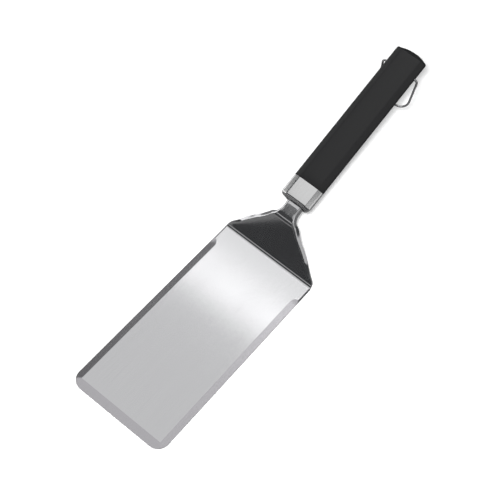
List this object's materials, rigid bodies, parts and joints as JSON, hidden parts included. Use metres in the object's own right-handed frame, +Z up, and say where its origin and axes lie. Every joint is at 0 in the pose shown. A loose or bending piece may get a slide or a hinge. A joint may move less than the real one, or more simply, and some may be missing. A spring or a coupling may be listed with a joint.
{
  "type": "grill spatula",
  "caption": "Long grill turner with a flat bevelled steel blade, a steep shoulder, a raised black grip with a steel ferrule and a swinging wire hanging loop.",
  "frame": {"origin": "middle of the flat blade's underside", "axes": "+X from the blade's front edge to the grip's end, +Y to the holder's left, +Z up out of the blade's upper face"},
  "size_m": [0.3545, 0.0898, 0.0903],
  "materials": {
    "blade_steel": "satin",
    "tang_steel": "satin",
    "ferrule_steel": "brushed",
    "seal_rubber": "matte",
    "grip_plastic": "satin",
    "wire_steel": "drawn wire"
  },
  "bodies": {
    "spatula": {"blade": "blade_steel", "tang": "tang_steel", "tang_weld": "tang_steel", "ferrule": "ferrule_steel", "neck_seal": "seal_rubber", "grip": "grip_plastic"},
    "loop": {"hanging_loop": "wire_steel"}
  },
  "joints": [
    {"name": "loop_swing", "type": "hinge", "parent": "spatula", "child": "loop", "pos_m": [0.2446, 0, 0.08251], "axis": [0, 1, 0], "range_deg": [-284, 30]}
  ]
}
